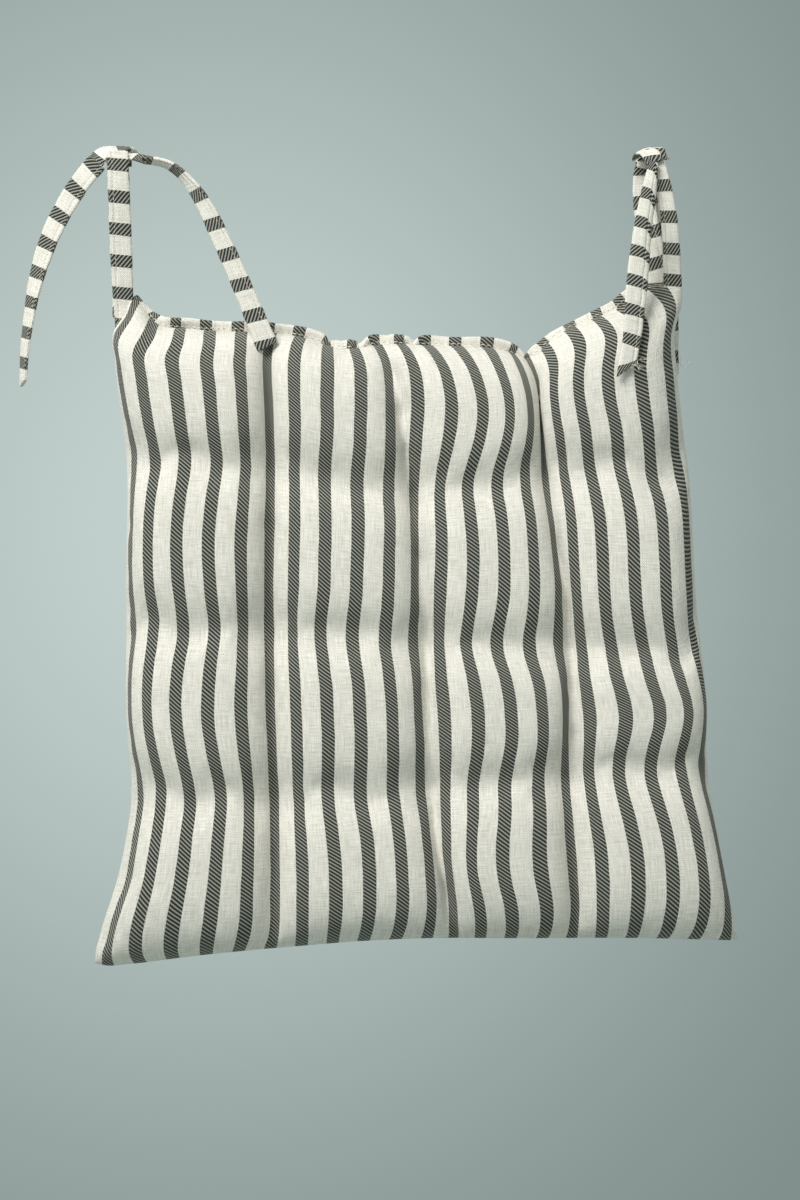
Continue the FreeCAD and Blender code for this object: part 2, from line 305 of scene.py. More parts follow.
def striped_fabric(name):
    """Heavy cotton: natural plain weave with charcoal twill stripes, drawn in the cloth's own millimetres."""
    s = Shader(name)
    uv = s.nodes.new("ShaderNodeUVMap")
    uv.uv_map = "cloth"
    parts = s.nodes.new("ShaderNodeSeparateXYZ")
    s.links.new(uv.outputs[0], parts.inputs[0])
    flat_x = s.math("MULTIPLY", parts.outputs[0], CLOTH)
    flat_y = s.math("MULTIPLY", parts.outputs[1], CLOTH)
    # no thread is quite straight
    x = s.vary(flat_x, s.noise_on(flat_x, 0.05, flat_y, 0.05, 0.0, 1.0), 0.9)
    y = s.vary(flat_y, s.noise_on(flat_y, 0.05, flat_x, 0.05, 7.0, 1.0), 1.4)

    # stripes, with edges that step from thread to thread
    period = CLOTH / STRIPES
    place = s.math("FRACT", s.math("MULTIPLY", x, 1 / period))
    off = s.math("MULTIPLY", s.math("ABSOLUTE", s.math("SUBTRACT", place, 0.5)), period)
    off = s.vary(off, s.noise_on(x, 0.3, y, 1.3), 0.55)
    dark = s.math("SUBTRACT", 1.0, s.ramp(off, *STRIPE_FADE))

    # yarns each way
    wave_x = s.math("SINE", s.math("MULTIPLY", x, math.pi / YARN_PITCH))
    wave_y = s.math("SINE", s.math("MULTIPLY", y, math.pi / YARN_PITCH))
    over = s.math("MULTIPLY", wave_x, wave_y)
    yarn_x = s.noise_on(x, 1.9, y, 0.08)
    yarn_y = s.noise_on(x, 0.10, y, 1.9, 3.0)
    yarns = s.math("ADD", s.math("SUBTRACT", yarn_x, 0.5), s.math("SUBTRACT", yarn_y, 0.5))

    # plain weave, with slubs and dark neps
    fuzz = s.noise_on(x, 2.6, y, 2.6, 5.0, 3.0)
    tone = s.math("MULTIPLY_ADD", over, 0.16, s.math("MULTIPLY_ADD", yarns, 0.85, 0.5))
    tone = s.vary(tone, fuzz, 0.7)
    cream = s.mix(s.ramp(tone, 0.0, 1.0), srgb(188, 184, 172), srgb(241, 238, 230))
    slub = s.ramp(s.noise_on(x, 0.55, y, 1.5, 11.0, 3.0), 0.645, 0.72)
    cream = s.mix(s.math("MULTIPLY", slub, 0.55), cream, srgb(142, 128, 104))
    nep = s.ramp(s.noise_on(x, 0.9, y, 1.2, 23.0), 0.735, 0.775)
    cream = s.mix(s.math("MULTIPLY", nep, 0.75), cream, srgb(80, 78, 70))

    # twill: pale weft shows in slanting lines between the dark warp floats
    across = s.math("MULTIPLY_ADD", y, math.cos(TWILL_SLANT), s.math("MULTIPLY", x, -math.sin(TWILL_SLANT)))
    rib = s.math("SINE", s.math("MULTIPLY", across, 2 * math.pi / TWILL_PITCH))
    dash = s.math("MULTIPLY_ADD", wave_x, 0.12, s.vary(rib, fuzz, 0.45))
    line = s.ramp(dash, -0.3, 0.9)
    warp = s.mix(s.ramp(yarn_x, 0.3, 0.7), srgb(28, 31, 30), srgb(44, 47, 44))
    twill = s.mix(s.math("MULTIPLY", line, 0.74), warp, srgb(172, 172, 160))

    s.put(s.mix(dark, cream, twill), s.surface.inputs["Base Color"])

    plain_height = s.math("MULTIPLY_ADD", yarns, 0.8, s.math("MULTIPLY", over, 0.35))
    twill_height = s.math("MULTIPLY", rib, -1.6)
    height = s.mix(dark, s.vector(plain_height, plain_height, plain_height),
                   s.vector(twill_height, twill_height, twill_height))
    s.bump(s.vary(height, fuzz, 0.12), 0.55, 0.00035)
    s.set(Roughness=0.92, Sheen_Weight=0.15, Sheen_Roughness=0.6)
    s.surface.inputs["Sheen Tint"].default_value = srgb(235, 233, 224)
    s.surface.inputs["Specular IOR Level"].default_value = 0.2
    return s.material


def thread_material(name, pale, shade):
    """Twisted sewing thread."""
    s = Shader(name)
    place = s.nodes.new("ShaderNodeTexCoord").outputs["Object"]
    fine = s.noise(place, 900.0, 3.0)
    s.put(s.mix(s.ramp(fine, 0.3, 0.7), shade, pale), s.surface.inputs["Base Color"])
    s.bump(fine, 0.4, 0.0002)
    s.set(Roughness=0.7, Sheen_Weight=0.2)
    return s.material


def fibre_material():
    """Loose white polyester fibre."""
    s = Shader("white_fibre")
    place = s.nodes.new("ShaderNodeTexCoord").outputs["Object"]
    wisps = s.noise(place, 160.0, 6.0)
    s.put(s.mix(s.ramp(wisps, 0.3, 0.7), srgb(205, 207, 206), srgb(243, 244, 243)),
          s.surface.inputs["Base Color"])
    s.bump(wisps, 0.8, 0.002)
    s.set(Roughness=0.95, Sheen_Weight=0.5)
    return s.material


# ------------------------------------------------------------------ camera and lights

def camera_and_lights():
    """The pad seen square on from 1.5 m, in soft light from the upper left."""
    scene = bpy.context.scene
    data = bpy.data.cameras.new("camera")
    data.sensor_width = 36.0
    data.lens = 77.6
    data.clip_end = 30.0
    camera = link(bpy.data.objects.new("camera", data))
    camera.location = (-0.0087, -1.5, -0.2436)
    camera.rotation_euler = (math.radians(90), 0, 0)
    scene.camera = camera

    def area(name, place, aim, size, power, colour):
        lamp = bpy.data.lights.new(name, "AREA")
        lamp.shape = "RECTANGLE"
        lamp.size, lamp.size_y = size
        lamp.energy = power
        lamp.color = colour
        obj = link(bpy.data.objects.new(name, lamp))
        obj.location = place
        obj.rotation_euler = (Vector(aim) - Vector(place)).to_track_quat("-Z", "Y").to_euler()

    area("key", (-0.9, -1.4, 1.35), (0, 0, -0.25), (1.2, 0.9), 60.0, (1.0, 0.988, 0.968))
    area("front", (0.7, -2.4, 0.3), (0, 0, -0.25), (2.0, 1.5), 9.0, (1.0, 0.985, 0.96))
    area("back_left", (-1.6, 1.7, 0.9), (0, 0, -0.3), (1.6, 1.6), 22.0, (1.0, 0.99, 0.97))
    area("back_right", (1.6, 1.9, 0.5), (0, 0, -0.3), (1.6, 1.6), 16.0, (1.0, 0.99, 0.97))
    studio_world()
    scene.view_settings.view_transform = "Standard"
    scene.view_settings.look = "None"


def studio_world():
    """A plain pale blue-grey studio, with a wide soft pool of painted light on its backdrop behind the pad
    and painted shade in a ring round that pool.
    """
    world = bpy.data.worlds.new("studio")
    bpy.context.scene.world = world
    world.use_nodes = True
    sky = Tree(world.node_tree)
    way = sky.nodes.new("ShaderNodeSeparateXYZ")
    sky.links.new(sky.nodes.new("ShaderNodeTexCoord").outputs["Generated"], way.inputs[0])
    aside = sky.math("DIVIDE", sky.math("ADD", way.outputs[0], 0.07), 0.235)
    above = sky.math("DIVIDE", sky.math("SUBTRACT", way.outputs[2], 0.03), 0.26)
    turned_away = sky.math("SUBTRACT", 1.0, way.outputs[1])
    far = sky.math("ADD", sky.math("MULTIPLY", aside, aside), sky.math("MULTIPLY", above, above))
    # painted light: the backdrop's colour is brighter in a soft pool straight behind the pad, a little left
    # of and above the middle
    painted_light_pool = sky.math("EXPONENT", sky.math("MULTIPLY", sky.math("ADD", far, turned_away), -1.0))
    # painted shade: the backdrop's colour darkens in a ring round the pool, and lightens again further round
    rim = sky.math("EXPONENT", sky.math("MULTIPLY", turned_away, -10.0))
    around = sky.mix(rim, (0.262, 0.307, 0.295, 1), (0.110, 0.163, 0.150, 1))
    sky.put(sky.mix(painted_light_pool, around, (0.548, 0.640, 0.618, 1)), sky.nodes["Background"].inputs["Color"])


def studio_floor():
    """A wide pale floor well below the pad, which fades into the studio at its rim."""
    rings, spokes, height, reach = 24, 72, -1500.0, 3600.0
    verts = [(0, 0, height)]
    faces = []
    for ring in range(1, rings + 1):
        radius = reach * ring / rings
        for spoke in range(spokes):
            angle = 2 * math.pi * spoke / spokes
            verts.append((radius * math.cos(angle), radius * math.sin(angle), height))
    for spoke in range(spokes):
        faces.append((0, 1 + spoke, 1 + (spoke + 1) % spokes))
    for ring in range(1, rings):
        inner, outer = 1 + (ring - 1) * spokes, 1 + ring * spokes
        for spoke in range(spokes):
            after = (spoke + 1) % spokes
            faces.append((inner + spoke, outer + spoke, outer + after, inner + after))
    floor = mesh_object("studio_floor", verts, faces)
    s = Shader("studio_paper")
    place = s.nodes.new("ShaderNodeTexCoord").outputs["Object"]
    grain = s.noise(place, 3.0, 4.0)
    s.put(s.mix(grain, srgb(176, 188, 186), srgb(184, 195, 193)), s.surface.inputs["Base Color"])
    spread = s.nodes.new("ShaderNodeVectorMath")
    spread.operation = "LENGTH"
    s.links.new(place, spread.inputs[0])
    s.put(s.math("SUBTRACT", 1.0, s.ramp(spread.outputs["Value"], 2.3, 3.8)), s.surface.inputs["Alpha"])
    s.set(Roughness=0.95)
    floor.data.materials.append(s.material)


# ------------------------------------------------------------------ the pad's shape

def hill(x, middle, width):
    """A smooth hill, 1 at its middle."""
    return np.exp(-((x - middle) / width) ** 2)


def turned(share, left, right):
    """How far across a roll a share of its cloth lies: its sides turn away from the front."""
    reach = 0.4

    def area(gap):
        near = np.minimum(gap, reach)
        return reach / 3 * (1 - (1 - near / reach) ** 3)

    total = 1 - (left + right) * reach / 3
    return (share - left * area(share) - right * (reach / 3 - area(1 - share))) / total


def quarter(gap):
    """A quarter round, from 0 at the crease to 1."""
    return np.sqrt(1 - (1 - np.minimum(1, gap)) ** 2)


def hem_cloth(shares):
    """The cloth's shares at shares along the hem, which is gathered unevenly as it is sewn."""
    slips = (
        (0, 0), (0.06, 0.012), (0.115, 0.015), (0.16, 0.011), (0.21, 0.005), (0.26, 0.001), (0.405, 0),
        (0.45, 0.009), (0.50, 0.018), (0.55, 0.018), (0.62, 0.012), (0.675, 0.012), (0.705, 0.037),
        (0.74, 0.046), (0.794, 0.0395), (0.843, 0.038), (0.887, 0.041), (0.95, 0.026), (1, 0),
    )
    return shares + read_at(slips, shares)


def foot_cloth(shares):
    """The cloth's shares at shares along the bottom seam."""
    slips = (
        (0, 0), (0.13, -0.008), (0.28, -0.0135), (0.45, -0.015), (0.52, -0.0165), (0.60, -0.0035),
        (0.70, -0.003), (0.80, 0.0015), (0.93, 0.0025), (1, 0),
    )
    return shares + read_at(slips, shares)


def hanging_shape():
    """The front's points (x, z) and the half thickness, by shares across and down the cloth."""
    n = CELLS
    share = np.linspace(0, 1, n + 1)
    top = along(TOP_EDGE, np.interp(share, hem_cloth(share), share))
    bottom = along(BOTTOM_EDGE, np.interp(share, foot_cloth(share), share))
    left, right = along(LEFT_EDGE, share), along(RIGHT_EDGE, share)
    # the panels start below the hem, which narrows to nothing at both corners
    top[:, 1] -= HEM * np.clip((np.minimum(share, 1 - share) - 0.045) / 0.035, 0, 1)
    u, v = np.meshgrid(share, share, indexing="ij")
    crease_u = [0 * share] + [cubic(STOPS, [p[0] for p in c], share) for c in CREASES] + [0 * share + 1]
    roll_side = left[:, 0] + read_at(LEFT_SLACK, share)
    crease_x = [roll_side] + [cubic(STOPS, [p[1] for p in c], share) for c in CREASES] + [right[:, 0]]
    x = np.zeros_like(u)
    rise = np.zeros_like(u)
    base = np.zeros_like(u)
    for k in range(4):
        low, high = crease_u[k][None], crease_u[k + 1][None]
        here = (u >= low) & (u <= high)
        a = np.clip((u - low) / (high - low), 0, 1)
        across = turned(a, *TURNS[k])
        pinch = sum(PINCHES[r][k] * hill(v, TUFT_SHARES[r], 0.05) for r in range(3))
        pinch = pinch + sum(LEANS[r][k] * hill(v, 0.125 + 0.25 * r, 0.09) for r in range(4))
        apart = (crease_x[k + 1] - crease_x[k])[None]
        roll_x = crease_x[k][None] + apart * across + pinch * np.sin(np.pi * a)
        x = np.where(here, roll_x, x)
        rise = np.where(here, quarter(a / QUARTERS[k][0]) * quarter((1 - a) / QUARTERS[k][1]), rise)
        base = np.where(here, CREASE_DEPTHS[k] * (1 - across) + CREASE_DEPTHS[k + 1] * across, base)
    row_z = [cubic(ROW_STOPS, row, share) for row in ROWS]
    z = np.stack([cubic(STOPS, [top[i, 1]] + [row[i] for row in row_z] + [bottom[i, 1]], share)
                  for i in range(n + 1)])
    x, z = meet_edges(x, z, top, bottom, left, right)
    row_fold = np.max([hill(v, s, 0.047) for s in TUFT_SHARES], axis=0)
    ends = quarter(np.minimum(v, 1 - v) / 0.11)
    half = (base + (PUFF - base) * rise) * ends * (1 - 0.52 * row_fold * (0.55 + 0.45 * (1 - rise)))
    return x, z, half


def meet_edges(x, z, top, bottom, left, right):
    """Draws the sheet's outer strips over to the four sewn sides."""
    n = CELLS
    x[0] = left[:, 0]
    z[0], z[-1] = left[:, 1], right[:, 1]
    x[:, 0], x[:, -1] = top[:, 0], bottom[:, 0]
    reach = max(2, int(n * 0.08))
    gap_top = top[:, 0] - (2 * x[:, 1] - x[:, 2])
    gap_bottom = bottom[:, 0] - (2 * x[:, -2] - x[:, -3])
    gap_left = left[:, 1] - (2 * z[1] - z[2])
    gap_right = right[:, 1] - (2 * z[-2] - z[-3])
    for j in range(1, reach):
        weight = (1 - j / reach) ** 2
        x[:, j] += weight * gap_top
        x[:, n - j] += weight * gap_bottom
        z[j] += weight * gap_left
        z[n - j] += weight * gap_right
    return x, z


def tuft_cells():
    """Grid places of the nine tufts, row by row."""
    return [(round(CREASES[c][r + 1][0] * CELLS), round(TUFT_SHARES[r] * CELLS))
            for r in range(3) for c in range(3)]


def pad_grids():
    """Vertex numbers of the front and back panels on one closed mesh, and its points."""
    n = CELLS
    x, z, half = hanging_shape()
    for i, j in tuft_cells():
        half[i, j] = TUFT_HALF
    front = np.zeros((n + 1, n + 1), int)
    back = np.zeros((n + 1, n + 1), int)
    points = []
    for side, grid in ((-1, front), (1, back)):
        for i in range(n + 1):
            for j in range(n + 1):
                rim = i in (0, n) or j in (0, n)
                if rim and side == 1:
                    grid[i, j] = front[i, j]
                    continue
                grid[i, j] = len(points)
                points.append((x[i, j], 0 if rim else side * max(half[i, j], 1.0), z[i, j]))
    return front, back, np.array(points)


def settle(front, back, points):
    """The closed cover's points once Blender's cloth has blown it up a little, tufts and corners held."""
    n = CELLS
    soft = mesh_object("cover_cloth", points, two_sided_faces(front, back))
    hold = soft.vertex_groups.new(name="hold")
    # the cloth hardly holds its place, the seams nearly, and the tufts and corners wholly
    hold.add(list(range(len(points))), 0.1, "REPLACE")
    hold.add(sorted(front[edge_mask(n + 1, n + 1)].tolist()), 0.95, "REPLACE")
    fixed = [int(grid[i, j]) for grid in (front, back) for i, j in tuft_cells()]
    fixed += [int(front[i, j]) for i in (0, n) for j in (0, n)]
    hold.add(fixed, 1.0, "REPLACE")
    cloth = soft.modifiers.new("Cloth", "CLOTH")
    how = cloth.settings
    how.quality = 5
    how.mass = 0.01
    how.tension_stiffness = 15
    how.compression_stiffness = 5
    how.shear_stiffness = 2
    how.bending_stiffness = 2
    how.tension_damping = how.compression_damping = how.shear_damping = 0.5
    how.use_pressure = True
    how.uniform_pressure_force = 3.0
    how.vertex_group_mass = "hold"
    how.shrink_min = -0.008
    how.effector_weights.gravity = 0
    for at, stiffness in ((1, 20.0), (12, 20.0), (16, 1.0)):
        how.pin_stiffness = stiffness
        soft.keyframe_insert('modifiers["Cloth"].settings.pin_stiffness', frame=at)
    cloth.collision_settings.use_collision = False
    cloth.point_cache.frame_start = 1
    cloth.point_cache.frame_end = SETTLE_FRAMES
    scene = bpy.context.scene
    scene.frame_end = SETTLE_FRAMES
    for at in range(1, SETTLE_FRAMES + 1):
        scene.frame_set(at)
    shaped = soft.evaluated_get(bpy.context.evaluated_depsgraph_get()).to_mesh()
    found = np.empty(len(shaped.vertices) * 3)
    shaped.vertices.foreach_get("co", found)
    bpy.data.objects.remove(soft)
    scene.frame_set(1)
    moved = found.reshape(-1, 3) / MM - points
    far = np.linalg.norm(moved, axis=1, keepdims=True)
    return points + moved * np.minimum(1, SETTLE_LIMIT / np.maximum(far, 1e-6))


def gathers(u, v, side):
    """Small puckers that the seams draw into the cloth beside them, in millimetres outwards."""
    shift = 1.3 if side > 0 else 0.0
    # deepest near the middle of the hem, where the real cover is gathered most
    top = (0.75 + 0.6 * hill(u, 0.46, 0.1)) * hill(v * CLOTH, 5, 9)
    top = top * np.sin(u * 205 + 1.6 * np.sin(u * 31 + shift))
    rib = np.sin(v * 150 + 1.4 * np.sin(v * 23 + shift))
    sides = 0.45 * (hill(u * CLOTH, 6, 7) + hill((1 - u) * CLOTH, 6, 7)) * rib
    foot = 0.5 * hill((1 - v) * CLOTH, 6, 7) * np.sin(u * 170 + 1.2 * np.sin(u * 19 + shift))
    return top + sides + foot


def panel(name, grid, side, material):
    """One face of the cover, its edges turned in at the seams."""
    n = CELLS
    share = np.linspace(0, 1, n + 1)
    u, v = np.meshgrid(share, share, indexing="ij")
    grid = grid.copy()
    grid[..., 1] += side * gathers(u, v, side)
    grid[edge_mask(n + 1, n + 1), 1] += side * 0.5
    wide = np.pad(grid, ((1, 1), (1, 1), (0, 0)), mode="edge")
    for strips in (wide, wide.swapaxes(0, 1)):
        for index, step in ((0, 1), (-1, -1)):
            near, far = strips[index + step].copy(), strips[index + 3 * step].copy()
            way = far - near
            way[:, 1] = 0
            strips[index] = near + unit(way) * SEAM_TURN
            strips[index, :, 1] = near[:, 1] * 0.3
    across = np.r_[-SEAM_TURN / CLOTH, share, 1 + SEAM_TURN / CLOTH]
    down = (HEM + (CLOTH - HEM) * across) / CLOTH
    m = n + 3
    faces, uvs = [], []
    for i in range(m - 1):
        for j in range(m - 1):
            corners = [(i, j), (i, j + 1), (i + 1, j + 1), (i + 1, j)]
            if side > 0:
                corners.reverse()
            faces.append([a * m + b for a, b in corners])
            uvs += [((across[a] if side < 0 else 1 - across[a]), down[b]) for a, b in corners]
    obj = mesh_object(name, wide.reshape(-1, 3), faces, uvs)
    obj.data.materials.append(material)
    rounded(obj, 1)
    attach(obj, "pad")
    return obj


def filling(front, back, material):
    """The fibre, a closed bag just inside the cover."""
    inner, gap, least = 3, 2.6, 0.4
    a = front[inner:-inner, inner:-inner].copy()
    b = back[inner:-inner, inner:-inner].copy()
    a[..., 1] = np.minimum(a[..., 1] + gap, -least)
    b[..., 1] = np.maximum(b[..., 1] - gap, least)
    m = a.shape[0]
    rim = edge_mask(m, m)
    verts = list(a.reshape(-1, 3))
    number = np.arange(m * m).reshape(m, m)
    other = number.copy()
    for i in range(m):
        for j in range(m):
            if not rim[i, j]:
                other[i, j] = len(verts)
                verts.append(b[i, j])
            else:
                verts[number[i, j]][1] = 0
    obj = mesh_object("fibre_fill", np.array(verts), two_sided_faces(number, other))
    obj.data.materials.append(material)
    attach(obj, "pad")
    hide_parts("fibre_filling")


# ------------------------------------------------------------------ hem and stitches

def hem_frames(rim):
    """Shares and points along the top seam, the hem's ways up and out there, and how much it is puckered."""
    shares = np.linspace(0.012, 0.988, 321)
    line = at_shares(rim, shares)
    puckers = ((0.363, 0.008), (0.42, 0.012), (0.51, 0.010), (0.70, 0.014))
    pucker = sum(hill(shares, place, wide) for place, wide in puckers)
    line[:, 2] -= 1.8 * pucker
    ahead = unit(np.gradient(line, axis=0))
    up = unit(np.cross(ahead, np.tile(BACKWARD, (len(line), 1))))
    up *= np.sign(up[:, 2:3])
    # degrees forwards, and backwards where it is less than 0
    leans = (
        (0, -62), (0.045, -56), (0.08, 6), (0.2, -4), (0.34, 6), (0.39, -24), (0.42, 44), (0.46, -20),
        (0.50, 40), (0.54, -6), (0.62, 0), (0.69, 16), (0.74, -38), (0.84, -40), (0.90, -12), (0.955, -54),
        (1.0, -62),
    )
    angle = np.radians(read_at(leans, shares))[:, None]
    out = np.tile(FORWARD, (len(line), 1))
    raised = up * np.cos(angle) + out * np.sin(angle)
    line = line - up * (1.9 * np.maximum(0, -np.sin(angle)))
    front = unit(out * np.cos(angle) - up * np.sin(angle))
    return shares, line, raised, front, pucker


def hem(rim, material):
    """The closing hem: both panels' edges folded in and stitched flat, six millimetres tall."""
    shares, line, up, front, pucker = hem_frames(rim)
    # (towards the front, up) round the folded edge, with the slit between the two folds
    ring = (
        (1.0, -1.6), (1.5, -0.4), (1.15, 0.7), (1.55, 1.9), (1.7, 3.6), (1.5, 5.0), (0.95, 5.9), (0.35, 5.8),
        (0.0, 4.9), (-0.35, 5.7), (-0.95, 5.9), (-1.5, 5.0), (-1.7, 3.6), (-1.55, 1.9), (-1.15, 0.7),
        (-1.5, -0.4), (-1.0, -1.6),
    )
    lift = (0.88 + 0.05 * np.sin(shares * 61)) * (1 - 0.42 * pucker)
    fat = 1 + 0.35 * pucker
    cloth = hem_cloth(shares)
    verts = []
    for k in range(len(line)):
        for out, high in ring:
            verts.append(line[k] + front[k] * (out * fat[k]) + up[k] * (high * lift[k]))
    count = len(ring)
    faces, uvs = [], []
    for k in range(len(line) - 1):
        for i in range(count - 1):
            corners = ((k + 1, i), (k + 1, i + 1), (k, i + 1), (k, i))
            faces.append([a * count + b for a, b in corners])
            behind = i >= count // 2
            for a, b in corners:
                uvs.append((1 - cloth[a] if behind else cloth[a], (HEM - ring[b][1]) / CLOTH))
    for k in (0, len(line) - 1):
        cap = [k * count + i for i in range(count)]
        faces.append(cap if k == 0 else cap[::-1])
        uvs += [(cloth[k], 0.0)] * count
    obj = mesh_object("closing_hem", verts, faces, uvs)
    obj.data.materials.append(material)
    rounded(obj, 1)
    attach(obj, "pad")


def bead(start, end, lift, radius, rings=6, sides=7):
    """The vertices and faces of a stitch, a thin bead from start to end that bulges along lift."""
    verts, faces = [], []
    way = end - start
    ahead = way / max(np.linalg.norm(way), 1e-6)
    side = np.cross(ahead, lift)
    side = side / max(np.linalg.norm(side), 1e-6)
    for r in range(rings + 1):
        t = r / rings
        centre = start + way * t + lift * (radius * 0.9 * math.sin(math.pi * t) - radius * 0.5)
        thick = radius * max(0.12, math.sin(math.pi * min(max(t, 0.04), 0.96)) ** 0.5)
        for k in range(sides):
            angle = 2 * math.pi * k / sides
            verts.append(centre + side * (thick * math.cos(angle)) + lift * (thick * math.sin(angle)))
    for r in range(rings):
        for k in range(sides):
            after = (k + 1) % sides
            faces.append((r * sides + k, r * sides + after, (r + 1) * sides + after, (r + 1) * sides + k))
    faces.append(tuple(range(sides - 1, -1, -1)))
    faces.append(tuple(rings * sides + k for k in range(sides)))
    return verts, faces


def joined(name, pieces, material):
    """One object of several small closed meshes."""
    verts, faces = [], []
    for some, those in pieces:
        start = len(verts)
        verts += list(some)
        faces += [[start + i for i in face] for face in those]
    obj = mesh_object(name, np.array(verts), faces)
    obj.data.materials.append(material)
    return obj


def closing_stitches(rim, material):
    """The line of machine stitches under the hem, on the front and on the back."""
    line, up, front = hem_frames(rim)[1:4]
    count = int(run_along(line)[-1] / HEM_STITCH)
    beads = []
    for k in range(count):
        for face in (1, -1):
            a, b = (k + 0.12) / count, (k + 0.88) / count
            ends = at_shares(np.c_[line, front, up], np.array((a, b)))
            lift = ends[0, 3:6] * face
            place = ends[:, :3] + ends[:, 3:6] * (face * 1.3) + ends[:, 6:9] * 0.55
            beads.append(bead(place[0], place[1], lift, 0.3))
    obj = joined("closing_stitch", beads, material)
    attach(obj, "pad")
    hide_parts("closing_stitch_thread")


def seam_stitches(name, line, node, material):
    """The lock stitches of a seam, through both turned-in edges."""
    count = int(run_along(line)[-1] / SEAM_STITCH)
    beads = []
    for k in range(count):
        ends = at_shares(line, np.array(((k + 0.1) / count, (k + 0.9) / count)))
        beads.append(bead(ends[0], ends[1], np.array(FORWARD), 0.3))
    obj = joined(name, beads, material)
    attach(obj, "pad")
    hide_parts(node)


def tuft(name, node, front_point, back_point, material):
    """A tuft's thread: through the pad, with a short twisted stitch drawn into the cloth on each face."""
    pieces = []
    for point, way in ((front_point, -1.0), (back_point, 1.0)):
        lift = np.array((0.0, way, 0.0))
        for strand in (-1, 1):
            start = point + np.array((-2.6, 0.0, 0.45 * strand)) + lift * 0.35
            end = point + np.array((2.6, 0.0, -0.45 * strand)) + lift * 0.35
            pieces.append(bead(start, end, lift, 0.55, 8, 8))
    pieces.append(bead(front_point, back_point, np.array((0.0, 0.0, 1.0)), 0.5, 4, 8))
    obj = joined(name, pieces, material)
    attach(obj, "pad")
    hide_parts(node)


# ------------------------------------------------------------------ ties

def smooth_route(name, points):
    """Points of the NURBS spline whose control points are a route's points, in millimetres."""
    data = bpy.data.curves.new(name, "CURVE")
    data.dimensions = "3D"
    data.resolution_u = 24
    spline = data.splines.new("NURBS")
    spline.points.add(len(points) - 1)
    for place, point in zip(spline.points, points):
        place.co = (point[0] * MM, point[1] * MM, point[2] * MM, 1)
    spline.order_u = 3
    spline.use_endpoint_u = True
    obj = link(bpy.data.objects.new(name, data))
    mesh = bpy.data.meshes.new_from_object(obj.evaluated_get(bpy.context.evaluated_depsgraph_get()))
    line = np.array([tuple(v.co) for v in mesh.vertices]) / MM
    bpy.data.objects.remove(obj)
    bpy.data.meshes.remove(mesh)
    return line


def strap(name, route, facing, material, width, turn=((0, 0), (1, 0)), phase=0.0, gather=1.0,
          fold=((0, 0), (1, 0)), cut=0.0):
    """A flat folded strap along a route.

    facing is the way its flat side looks.  Width, turn (degrees) and fold, the bend of its seamed third, are
    tables of (share of its length, value).  phase is where its stripes start on the cloth, gather is how much
    longer its cloth is than the sewn strap, and cut is how far its end slants.
    """
    line = smooth_route(name + "_route", route)
    length = run_along(line)[-1]
    count = max(24, int(length / 1.4))
    t = np.linspace(0, 1, count)
    centre = at_shares(line, t)
    ahead = unit(np.gradient(centre, axis=0))
    out = np.tile(np.array(facing, float), (count, 1))
    out = unit(out - ahead * np.sum(out * ahead, axis=1, keepdims=True))
    side = unit(np.cross(ahead, out))
    angle = np.radians(read_at(turn, t))[:, None]
    out, side = out * np.cos(angle) + side * np.sin(angle), side * np.cos(angle) - out * np.sin(angle)
    bend = read_at(fold, t)
    run = t * length
    wobble = 1 + 0.018 * np.sin(run * 0.33 + phase) + 0.012 * np.sin(run * 0.71 + 2 * phase)
    wide = read_at(width, t) * wobble
    # the section: (across, out) in halves of width and thickness, with the sewn line's groove
    face = (-0.93, -0.72, -0.56, -0.50, -0.44, -0.25, 0.0, 0.25, 0.5, 0.75, 0.93)
    dent = (0.72, 1.0, 0.86, 0.52, 0.86, 1.0, 1.0, 0.98, 1.0, 0.98, 0.72)
    section = [(a, d) for a, d in zip(face, dent)] + [(1.0, 0.25), (1.0, -0.25)]
    section += [(a, -d) for a, d in zip(face[::-1], dent[::-1])]
    section += [(-1.0, -0.28), (-0.90, 0.0), (-1.0, 0.28)]
    around = run_along(np.array(section + section[:1]) * (STRAP_WIDTH / 2, 1.1))
    verts = []
    for k in range(count):
        near_end = max(0.0, 1 - (1 - t[k]) * length / max(3.0, 1.5 * abs(cut)))
        for a, d in section:
            push = ahead[k] * (cut * near_end * a)
            lift = -bend[k] * max(0.0, -0.3 - a) * wide[k] * 0.4
            aside = side[k] * (a * wide[k] / 2)
            verts.append(centre[k] + aside + out[k] * (d * STRAP_THICK / 2 + lift) + push)
    m = len(section)
    faces, uvs = [], []
    for k in range(count - 1):
        for i in range(m):
            corners = ((k, i), (k + 1, i), (k + 1, i + 1), (k, i + 1))
            faces.append([a * m + b % m for a, b in corners])
            for a, b in corners:
                place = section[b % m][0]
                slide = (0.12 * place - 1.5 * bend[a] * max(0.0, -0.3 - place)) * STRAP_WIDTH / 2
                uvs.append(((run[a] * gather + phase + slide) / CLOTH, around[b] / CLOTH))
    for k in (0, count - 1):
        cap = [k * m + i for i in range(m)]
        faces.append(cap[::-1] if k else cap)
        uvs += [((run[k] * gather + phase + section[i][1]) / CLOTH, section[i][0] * 6 / CLOTH)
                for i in (range(m - 1, -1, -1) if k else range(m))]
    obj = mesh_object(name, verts, faces, uvs)
    obj.data.materials.append(material)
    rounded(obj, 1)
    groove = centre - side * (0.25 * wide)[:, None] - out * (bend * 0.08 * wide)[:, None]
    stitch = stitch_row(name + "_stitching", groove, out, length)
    return obj, line, length, stitch


